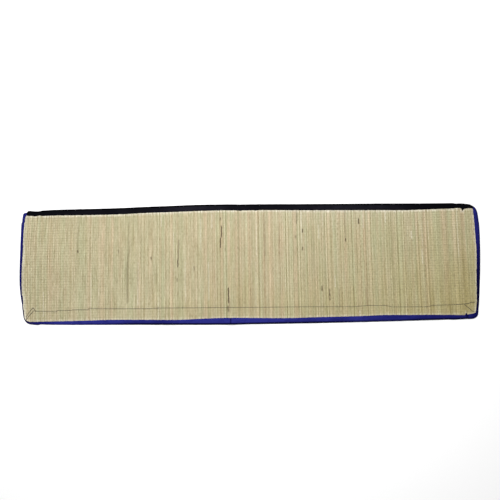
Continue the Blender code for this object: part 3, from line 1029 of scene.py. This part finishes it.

# Painted light and shade on the cloth's face, going round: painted light above 0, where the light fell on it,
# and painted shade below it, also in its creases; and how much painted shade its outer turn takes, or below 0
# how much painted light
PaintedLight = namedtuple("PaintedLight", "x y pale turned", defaults=[1.0])
BLUE_PAINTED_LIGHT = listed(PaintedLight, [
    (-905, 212, 0.40, 0.0), (-912, 120, 0.15, -0.3), (-916, 30, 0.00, -0.3), (-916, -60, 0.05, 0.0),
    (-905, -140, -0.40, 0.0), (-890, -212, -0.80, 0.2), (-855, -226, 0.10, 0.1), (-807, -228, 0.50, 0.1),
    (-743, -230, 1.15, 0.1), (-695, -231, 1.15, 0.2), (-640, -232, 0.95, 0.3), (-560, -234, 0.85, 0.5),
    (-488, -235, 0.60, 0.9), (-400, -236, 0.60), (-370, -236, 0.30), (-337, -236, 0.40),
    (-305, -236, 0.60), (-273, -237, 1.05), (-154, -237, 1.00), (-86, -238, 0.85), (-82, -238, -0.30),
    (-78, -238, 0.85), (-27, -238, 1.00), (85, -238, 1.15), (157, -238, 0.75), (228, -237, 0.55),
    (292, -237, 0.75), (356, -237, 0.45, 0.9), (419, -236, 0.75, 0.7), (483, -236, 0.50, 0.7),
    (578, -235, 0.55, 0.7), (642, -234, 0.40, 0.8), (738, -233, 0.25, 0.9), (841, -232, 0.35, 0.9),
    (848, -232, -0.90, 0.0), (855, -232, 0.35, 0.6), (893, -190, -0.90, 0.0), (900, -130, -1.00, 0.0),
    (910, -60, -0.75, 0.0), (915, 0, -0.30, 0.2), (917, 30, 0.00, 0.2), (915, 90, 0.45, 0.3),
    (905, 205, 0.45, 0.5),
])
BLACK_PAINTED_LIGHT = listed(PaintedLight, [
    (860, 225, 0.00), (800, 225, -0.40), (740, 230, -0.30), (650, 230, 0.10), (620, 230, 0.25),
    (580, 230, 0.45), (500, 230, 0.60), (420, 236, 0.75), (360, 236, 0.85), (300, 236, 0.65),
    (230, 236, 0.50), (170, 236, 0.35), (100, 236, 0.30), (35, 236, 0.12), (-25, 236, 0.30),
    (-60, 236, 0.25), (-150, 236, 0.60), (-220, 236, 1.00), (-300, 236, 0.85), (-340, 236, 0.60),
    (-400, 236, 0.35), (-470, 236, 0.15), (-500, 230, 0.30), (-560, 230, 0.15), (-660, 230, 0.30),
    (-760, 230, 0.15), (-850, 225, 0.00),
])

(low_corner, high_corner) = cad_box
hem_x = (low_corner.x + HEM_LEFT, high_corner.x - HEM_RIGHT)
hem_y = (low_corner.y + HEM_NEAR, high_corner.y - HEM_FAR)


def ripple(run, length, seed):
    """Smooth uneven waves along a strip, about as long as given, of unit height."""
    draw = np.random.default_rng(seed)
    total = np.zeros(len(run))
    for part in RIPPLE_PARTS:
        total += np.sin(2 * np.pi * (run / (length * part) + draw.uniform()))
    return total / RIPPLE_HEIGHT


def cloth_path(front, reach):
    """Distances in from the edge, heights, and share of painted shade on the outer turn, along a strip's
    outer side.
    """
    rolled = front - FOLD_HALF * ROLLED[-1][0]
    flat_stop = min(TURN_WIDE, rolled * TURN_SHARE)
    d = [front - FOLD_HALF * inwards for inwards, _ in ROLLED]
    z = [EDGE_HIGH - PRESS - FOLD_HALF * down for _, down in ROLLED]
    for share in FACE_SHARES:
        d.append(rolled - (rolled - flat_stop) * share)
        z.append(EDGE_HIGH - PRESS * (1 - share) ** 2 + CROWN * math.sin(math.pi * share))
    for step in range(TURN_STEPS + 1):
        angle = math.pi / 2 * (1 - step / TURN_STEPS)
        d.append(flat_stop * (1 - math.cos(angle)))
        z.append(TURN_HIGH + (EDGE_HIGH - TURN_HIGH) * math.sin(angle))
    for step in range(1, UNDER_STEPS + 1):
        angle = math.pi / 2 * step / UNDER_STEPS
        d.append(TURN_UNDER * (1 - math.cos(angle)))
        z.append(TURN_HIGH * (1 - math.sin(angle)))
    for share in HEM_SHARES:
        d.append(TURN_UNDER + (reach - TURN_UNDER) * share)
        z.append(0.0)
    d += [reach - FOLD_HALF, reach]
    z += [0.0, FOLD_HALF * HEM_END_RISE]
    # The outer turn takes painted shade, fading in from how far in it reaches
    turned = np.clip((TURN_SHADE_REACH - np.array(d)) / TURN_SHADE_FADE, 0, 1)
    return np.array(d), np.array(z), turned


def painted_along(points, painted_table, column):
    """How much painted light and shade the cloth takes at each station, from the places where that is known.
    """
    known = np.array([(place.x * MM, place.y * MM) for place in painted_table])
    nearest = np.argmin(np.linalg.norm(points[:, None] - known[None], axis=2), 0)
    turns = np.argsort(nearest)
    painted_light = np.array([getattr(place, column) for place in painted_table])
    return np.interp(np.arange(len(points)), nearest[turns], painted_light[turns])


def cloth_strip(name, chosen, creases, painted_table, seed, material):
    """A strip wrapped round part of the edge: one closed thin sheet, a section at each station."""
    points = edge_points[chosen]
    normals = edge_normals[chosen]
    steps = np.linalg.norm(np.diff(points, axis=0), axis=1)
    run = np.concatenate([[0.0], np.cumsum(steps)])
    pucker = ripple(run, PUCKER_LENGTH, seed) + PUCKER_MINOR * ripple(run, PUCKER_SHORT, seed + 1)
    sway = ripple(run, SWAY_LENGTH, seed + 2)
    frays = ripple(run, FRAY_LENGTH, seed + 3)
    rings = []
    widths = []
    shares = []
    for index, (point, normal) in enumerate(zip(points, normals)):
        back = np.array([np.clip(point[0], *hem_x), np.clip(point[1], *hem_y)])
        reach = np.linalg.norm(back - point)
        behind = (back - point) / reach
        front = edge_front[chosen][index] + SWAY * frays[index]
        facing = edge_facing[chosen][index]
        dent = 0.0
        for crease in creases:
            off = (point[0] / MM - crease.x) / crease.half
            if abs(normal[1]) > FACING:
                dent += crease.depth * MM * math.exp(-off * off)
                front += crease.tug * MM * math.exp(-off * off)
        d, z, share = cloth_path(front, reach)
        shares.append(np.concatenate([share, share[::-1]]))
        above = np.clip((z - TURN_HIGH) / (EDGE_HIGH - TURN_HIGH), 0, 1)
        z = z + above * (PUCKER * pucker[index] - dent)
        lift_out = edge_lift[chosen][index]
        lift_in = floor_of(*(point + behind * (reach - HEM_FELT)))
        moved = EDGE_SWAY * SWAY * sway[index] + EDGE_DENT * dent
        outer = []
        for distance, level, high in zip(d, z, above):
            direction = facing if high > 0 else behind
            place = point + direction * (distance + moved * (distance < EDGE_PART))
            rise = lift_out + (lift_in - lift_out) * min(distance / reach, 1.0)
            outer.append((place[0], place[1], level + rise))
        outer = np.array(outer)
        flow = np.gradient(outer, axis=0)
        along = np.array([-normal[1], normal[0], 0.0])
        square = np.cross(flow, along)
        square /= np.linalg.norm(square, axis=1)[:, None]
        inner = outer + square * CLOTH
        rings.append(np.vstack([outer, inner[::-1]]))
        lengths = np.linalg.norm(np.diff(outer, axis=0), axis=1)
        widths.append(np.concatenate([[0.0], np.cumsum(lengths)]))
    piece = build_strip(name, np.array(rings), np.array(widths), run, material)
    # Painted light and shade along the strip, and the painted shade on its outer turn, kept at each point
    store(piece.data, "painted_light", np.repeat(painted_along(points, painted_table, "pale"), len(rings[0])))
    store(piece.data, "turned", (np.array(shares) * painted_along(points, painted_table, "turned")[:, None]).ravel())
    return piece


# The map for baking lays the strip in rows, with margins beside each and at both ends
BAKE_ROWS = 6
ROW_MARGIN = 0.03
SIDE_MARGIN = 0.005


def build_strip(name, rings, widths, run, material):
    """Join the sections into a mesh, with the cloth's own map and a folded map for baking."""
    count, size = rings.shape[:2]
    half = size // 2
    vertices = rings.reshape(-1, 3)
    faces = []
    cloth_map = []
    bake_map = []
    columns = math.ceil((count - 1) / BAKE_ROWS)
    for index in range(count - 1):
        row, column = divmod(index, columns)
        here, ahead = index * size, (index + 1) * size
        for part in range(size):
            after = (part + 1) % size
            faces.append((here + part, here + after, ahead + after, ahead + part))
            for station, place in ((0, part), (0, part + 1), (1, part + 1), (1, part)):
                flat = place if place < half else size - 1 - min(place, size - 1)
                cloth_map.append((run[index + station], widths[index + station][flat]))
                across = (row + ROW_MARGIN + (1 - 2 * ROW_MARGIN) * place / size) / BAKE_ROWS
                along = SIDE_MARGIN + (1 - 2 * SIDE_MARGIN) * (column + station) / columns
                bake_map.append((along, across))
    for end, start in ((0, 0), (1, (count - 1) * size)):
        cap = [start + part for part in range(size)]
        faces.append(cap if end else cap[::-1])
        for _ in cap:
            cloth_map.append((0.0, 0.0))
            bake_map.append((0.0, 0.0))
    mesh = bpy.data.meshes.new(name)
    mesh.from_pydata(vertices.tolist(), [], faces)
    lay_map(mesh, "OFBake", bake_map)
    lay_map(mesh, "cloth", cloth_map)
    mesh.polygons.foreach_set("use_smooth", [True] * len(mesh.polygons))
    mesh.materials.append(material)
    return in_scene(name, mesh)


# The cloth's thread and slubs, the patches of wear that mottle its painted light, and how much each of them
# shows
CLOTH_ROUGH = 0.9
CLOTH_GLOSS = 0.04
CLOTH_THREAD = 0.0009
SLUB_LONG = 0.0100
SLUB_THICK = 0.0006
SLUB_SLICE = 3.0
FADE_PATCH = (0.055, 0.012, 0.01)
SMALL_PATCH = (0.014, 0.010, 0.01)
FADE_SHARE = 1.6
SMALL_SHARE = 1.2
THREAD_SHADE = 0.10
SLUB_SHADE = 0.35
THREAD_RELIEF = 0.5
WEAVE_RELIEF = 0.5


def cloth_material(name, painted_light, deep, painted_shade):
    """Plain-woven cotton: fine threads, slubs, painted light on its face mottled by wear, and painted shade
    on its outer turn and in creases.
    """
    finish = {"Roughness": CLOTH_ROUGH, "Specular IOR Level": CLOTH_GLOSS}
    material, graph, shader = new_material(name, finish)
    u, v, _ = graph.parts(graph.node("ShaderNodeUVMap", {"uv_map": "cloth"}))
    xyz = graph.own_place()
    threads = u.wave(CLOTH_THREAD) * v.wave(CLOTH_THREAD)
    slub = graph.noise(u / SLUB_LONG, v / SLUB_THICK, 0.0)
    slub = slub + graph.noise(u / SLUB_THICK, v / SLUB_LONG, SLUB_SLICE)
    fade = graph.grain(xyz, FADE_PATCH)
    patch = graph.grain(xyz, SMALL_PATCH)
    pale = graph.known("painted_light")
    turned = graph.known("turned")
    # Painted light: the lit copy of the colour where light fell on the face, mottled by patches of wear, and
    # on an outer turn that takes painted light
    share = pale + pale * fade * FADE_SHARE + pale * patch * SMALL_SHARE
    tint = graph.mix((share + (turned * -1.0).clip()).clip(), deep, painted_light)
    # Painted shade: the darkest copy where the face is shaded, in creases and on the outer turn
    dark = (pale * -1.0).clip()
    tint = graph.mix(dark.math("MAXIMUM", dark, turned.clip()), tint, painted_shade)
    tint = graph.scaled(tint, 1.0 + threads * THREAD_SHADE + slub * SLUB_SHADE)
    weave = graph.bump(WEAVE_RELIEF, threads * THREAD_RELIEF + slub)
    graph.feed(shader, {"Base Color": tint, "Normal": weave})
    return material


# Each cloth in its own deep colour, a lighter copy as painted light, a painted sheen on the black, and a
# darker copy as painted shade
BLUE_PAINTED_LIT = (0.0185, 0.0205, 0.1640, 1.0)
BLUE_DEEP = (0.0045, 0.0050, 0.0700, 1.0)
BLUE_PAINTED_SHADE = (0.0012, 0.0014, 0.0190, 1.0)
BLACK_PAINTED_SHEEN = (0.0092, 0.0088, 0.0130, 1.0)
BLACK_DEEP = (0.0014, 0.0014, 0.0026, 1.0)
BLACK_PAINTED_SHADE = (0.0006, 0.0006, 0.0012, 1.0)

blue_cloth = cloth_material("blue_cloth", BLUE_PAINTED_LIT, BLUE_DEEP, BLUE_PAINTED_SHADE)
black_cloth = cloth_material("black_cloth", BLACK_PAINTED_SHEEN, BLACK_DEEP, BLACK_PAINTED_SHADE)

start = int(np.flatnonzero(edge_is_black & ~np.roll(edge_is_black, 1))[0])
order = (np.arange(len(edge_points)) + start) % len(edge_points)
black_run = order[edge_is_black[order]]
blue_run = order[~edge_is_black[order]]
blue_run = np.concatenate([black_run[-1:], blue_run, black_run[:1]])

# The strips as cut, flat: width and length
BLACK_FLAT = (0.060, 1.80)
BLUE_FLAT = (0.095, 2.72)
black_facts = ("black_strip", black_run, BLACK_CREASES, BLACK_PAINTED_LIGHT, BLACK_SEED, black_cloth)
blue_facts = ("blue_strip", blue_run, BLUE_CREASES, BLUE_PAINTED_LIGHT, BLUE_SEED, blue_cloth)
for facts, slot, node_name, flat in (
    (black_facts, "black_cloth", "black_binding", BLACK_FLAT),
    (blue_facts, "blue_cloth", "blue_binding", BLUE_FLAT),
):
    strip = cloth_strip(*facts)
    carried(strip)
    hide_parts(node_name)


# The sewing. The wide hem is held by one dark thread that goes through the whole mat, in long
# stitches along the hem's inner edge and across the mitres, and it shows on both sides.

# Each seam is a line of places in millimetres
SEAMS = {
    "hem": [
        (-850.0, -174.6), (-838.9, -174.8), (-768.9, -178.4), (-764.6, -173.8), (-709.5, -174.3),
        (-703.6, -171.6), (-643.3, -172.2), (-641.0, -168.0), (-555.8, -169.3), (-450.5, -171.1),
        (-409.9, -171.7), (-363.7, -169.7), (-200.8, -171.2), (-75.0, -172.1), (18.2, -173.6),
        (193.8, -174.5), (407.6, -177.5), (435.3, -175.3), (464.6, -173.4), (523.4, -174.3),
        (555.9, -180.3), (588.3, -180.9), (694.8, -181.8), (714.8, -177.4), (791.2, -176.2),
        (806.0, -175.9),
    ],
}
# The mitres are sewn shut with the thread taken double, drawn thicker still as painted shade for the groove
# it presses into the weave
MITRE_SEAMS = {
    "left_lower": [(-889.2, -209.5), (-883.3, -204.5), (-871.7, -189.5), (-858.4, -174.5)],
    "left_upper": [
        (-885.0, -196.0), (-878.8, -185.1), (-873.9, -177.6), (-868.8, -170.8), (-863.7, -166.6),
        (-858.8, -160.8), (-854.5, -167.5), (-850.0, -174.6),
    ],
    "right_lower": [(841.6, -176.7), (845.7, -181.0), (857.0, -190.2), (869.4, -201.8), (873.7, -203.6)],
    "right_upper": [(808.0, -175.9), (835.9, -173.8), (857.3, -171.4), (864.2, -168.4), (880.4, -167.5)],
}
# The seams along the two ends run with the strands and sink between them, so only the back shows them
END_SEAMS = {
    "left": [(-860.7, 208.0), (-861.5, 60.0), (-861.0, -60.0), (-859.0, -163.0)],
    "right": [(856.4, 196.0), (853.0, 90.0), (849.0, -40.0), (844.0, -176.0)],
}

# The length of a stitch and of what shows of it, the thread single and double, how far it stands off
# the mat on either side, how far its ends dip, and how far a stitch strays from the seam's line
STITCH = 0.0042
STITCH_SHOWS = 0.0036
# The thread, single and double, is drawn thicker than it is: its width is partly thread and partly painted
# shade for the groove it presses into the weave
THREAD_HALF = 0.00055
DOUBLE_HALF = 0.00080
THREAD_TOP = 0.00010
THREAD_UNDER = 0.00025
STITCH_DIP = 1.6
STITCH_PARTS = 5
THREAD_SIDES = 6
SKEW = 0.06
SKEW_SEED = 5
THREAD_COLOUR = (0.030, 0.030, 0.034)
THREAD_PLY = (0.0006, 0.0006, 0.0006)
THREAD_UNEVEN = 0.8
THREAD_TWIST = 0.5
THREAD_ROUGH = 0.8

STITCH_INPUTS = {
    "Mat": "Object",
    "From": "Float",
    "Proud": "Float",
    "Spacing": "Float",
    "Length": "Float",
    "Thread": "Float",
    "Material": "Material",
}
stitch_tree, graph, given = group_tree("stitches", STITCH_INPUTS)
lines = graph.node("GeometryNodeMeshToCurve", None, {0: given["Lines"]})
spaced = {"Curve": lines, "Length": given["Spacing"]}
lines = graph.node("GeometryNodeResampleCurve", {"mode": "LENGTH"}, spaced)
x, y, z = graph.parts(graph.node("GeometryNodeInputPosition"))
seat = graph.vector(x, y, seat_height(graph, given["Mat"], x, y, given["From"]) + given["Proud"])
lines = graph.node("GeometryNodeSetPosition", None, {"Geometry": lines, "Position": seat})
dip = given["Thread"] * -STITCH_DIP * given["From"] / HIGH
loop = {
    "Resolution": STITCH_PARTS,
    "Start": graph.vector(given["Length"] * -0.5, 0.0, dip),
    "Middle": graph.vector(0.0, 0.0, dip * -1.0),
    "End": graph.vector(given["Length"] * 0.5, 0.0, dip),
}
stitch = graph.node("GeometryNodeCurveQuadraticBezier", None, loop)
ring = graph.node("GeometryNodeCurvePrimitiveCircle", None, {0: THREAD_SIDES, "Radius": given["Thread"]})
swept = {"Curve": stitch, "Profile Curve": ring, "Fill Caps": True}
stitch = graph.node("GeometryNodeCurveToMesh", None, swept)
tangent = graph.node("GeometryNodeInputTangent")
turned = graph.node("FunctionNodeAlignRotationToVector", {"axis": "X"}, {"Vector": tangent})
# Sockets 2 and 3 are the least and the most that the random number may be, and output 1 is that number
spread = {2: -SKEW, 3: SKEW, "Seed": SKEW_SEED}
skew = graph.node("FunctionNodeRandomValue", {"data_type": "FLOAT"}, spread, 1)
skew = graph.node("FunctionNodeAxisAngleToRotation", None, {0: (0.0, 0.0, 1.0), 1: skew})
turned = graph.node("FunctionNodeRotateRotation", {"rotation_space": "LOCAL"}, {0: turned, 1: skew})
sewn = {"Points": lines, "Instance": stitch, "Rotation": turned}
stitches = graph.node("GeometryNodeInstanceOnPoints", None, sewn)
close_tree(graph, graph.node("GeometryNodeSetShadeSmooth", None, {0: stitches}), given["Material"])

thread = cotton_thread("hem_thread", THREAD_ROUGH, THREAD_COLOUR, THREAD_PLY, THREAD_UNEVEN, THREAD_TWIST)

hem_runs, mitre_runs, end_runs = [
    [np.array([(x * MM, y * MM, 0.0) for x, y in seam]) for seam in seams.values()]
    for seams in (SEAMS, MITRE_SEAMS, END_SEAMS)
]
seam_values = {"Spacing": STITCH, "Length": STITCH_SHOWS, "Thread": THREAD_HALF, "Material": thread}
face_values = dict(seam_values, Mat=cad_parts["korai_panel"], From=HIGH, Proud=THREAD_TOP)
mitre_values = dict(face_values, Thread=DOUBLE_HALF)
back_values = dict(seam_values, Mat=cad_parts["blue_binding"], From=-HIGH, Proud=THREAD_UNDER)
sides = (
    ("hem_stitches", hem_runs, face_values),
    ("mitre_stitches", mitre_runs, mitre_values),
    ("hem_stitches_back", hem_runs + mitre_runs + end_runs, back_values),
)
for name, runs, values in sides:
    sewing = grow(name, line_mesh(name, runs, {}), stitch_tree, values)
    carried(sewing)


# The studio: a plain pale floor, one soft lamp above and beyond the mat's left half, an even
# sky, and the camera almost straight above, as the picture was taken.

FLOOR_HALF = 6.0
FLOOR_LEVEL = -0.0003
FLOOR_COLOUR = (0.95, 0.95, 0.95, 1.0)
FLOOR_ROUGH = 0.9
LAMP_PLACE = Vector((-0.30, 0.88, 1.95))
LAMP_AIM = Vector((0.0, 0.0, 0.0))
LAMP_SIZE = 0.9
LAMP_POWER = 53.0
SKY_COLOUR = (1.0, 1.0, 1.0, 1.0)
SKY_STRENGTH = 0.58
CAMERA_PLACE = (-0.00373, -0.08114, 1.71220)
CAMERA_TILT = 4.5
CAMERA_TURN = -0.93
FOCAL_SHARE = 430.6 / 500
SENSOR = 36.0

floor_mesh = bpy.data.meshes.new("floor")
square = [(-1, -1), (1, -1), (1, 1), (-1, 1)]
floor_mesh.from_pydata([(x * FLOOR_HALF, y * FLOOR_HALF, FLOOR_LEVEL) for x, y in square], [], [(0, 1, 2, 3)])
floor = in_scene("floor", floor_mesh)
pale, graph, shader = new_material("pale_floor", {"Base Color": FLOOR_COLOUR, "Roughness": FLOOR_ROUGH})
floor_mesh.materials.append(pale)

lamp_data = bpy.data.lights.new("soft_lamp", "AREA")
lamp_data.shape = "DISK"
lamp_data.size = LAMP_SIZE
lamp_data.energy = LAMP_POWER
lamp = in_scene("soft_lamp", lamp_data)
lamp.location = LAMP_PLACE
lamp.rotation_euler = (LAMP_AIM - LAMP_PLACE).to_track_quat("-Z", "Y").to_euler()

sky = bpy.data.worlds.new("even_sky")
sky.use_nodes = True
sky.node_tree.nodes["Background"].inputs["Color"].default_value = SKY_COLOUR
sky.node_tree.nodes["Background"].inputs["Strength"].default_value = SKY_STRENGTH
bpy.context.scene.world = sky

camera_data = bpy.data.cameras.new("camera")
camera_data.sensor_width = SENSOR
camera_data.lens = SENSOR * FOCAL_SHARE
camera = in_scene("camera", camera_data)
camera.location = CAMERA_PLACE
camera.rotation_euler = (math.radians(CAMERA_TILT), 0.0, math.radians(CAMERA_TURN))
bpy.context.scene.camera = camera
bpy.context.scene.view_settings.view_transform = "Standard"
